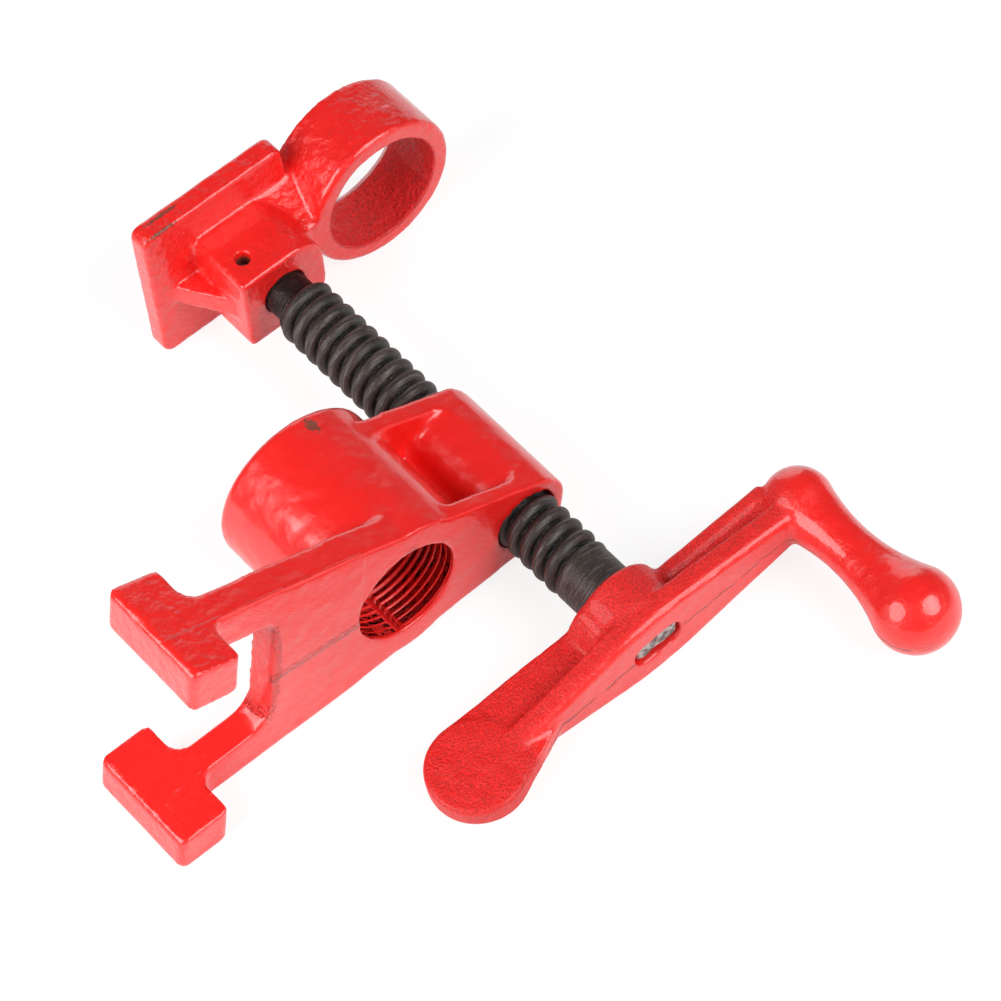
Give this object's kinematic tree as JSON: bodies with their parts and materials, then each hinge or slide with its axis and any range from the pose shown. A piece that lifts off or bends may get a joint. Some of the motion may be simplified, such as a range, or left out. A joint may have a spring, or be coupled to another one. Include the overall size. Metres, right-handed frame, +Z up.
{
  "type": "pipe clamp head",
  "caption": "Pipe clamp head: a two-legged cast head with a threaded pipe socket, and a screw with a crank handle that drives a swivelling jaw with a pipe ring.",
  "frame": {"origin": "on the pipe axis, at the front face of the head, with the clamp lying on a bench", "axes": "+Z up from the bench; +X along the screw and the pipe towards the crank handle, dropping by 4.27 degrees; +Y across, from the feet to the screw"},
  "size_m": [0.1893, 0.157, 0.0647],
  "materials": {
    "enamel": "thick glossy red enamel over rough cast iron",
    "handle_enamel": "red enamel over grainy cast iron",
    "black_steel": "blackened steel, bare at the peened end",
    "pin_steel": "plain steel"
  },
  "bodies": {
    "head": {"head_casting": "enamel"},
    "nut_travel": {"thrust_disc": "pin_steel"},
    "screw": {"clamp_screw": "black_steel", "crank_handle": "handle_enamel"},
    "jaw": {"sliding_jaw": "enamel", "jaw_pin": "pin_steel"}
  },
  "joints": [
    {"name": "screw_travel", "type": "slide", "parent": "head", "child": "nut_travel", "axis": [0.9972, 0, -0.0745], "range_m": [-0.0155, 0.041]},
    {"name": "screw_spin", "type": "hinge", "parent": "nut_travel", "child": "screw", "pos_m": [-0.00047, 0.0324, -0.00627], "axis": [0.9972, 0, -0.0745], "range_deg": [-1397, 3692]},
    {"name": "jaw_swivel", "type": "hinge", "parent": "nut_travel", "child": "jaw", "pos_m": [-0.08184, 0.0324, -0.00019], "axis": [0.9972, 0, -0.0745], "continuous": true}
  ],
  "couplings": [
    {"joint": "screw_spin", "follows": "screw_travel", "rad_per_m": 1570.8}
  ]
}
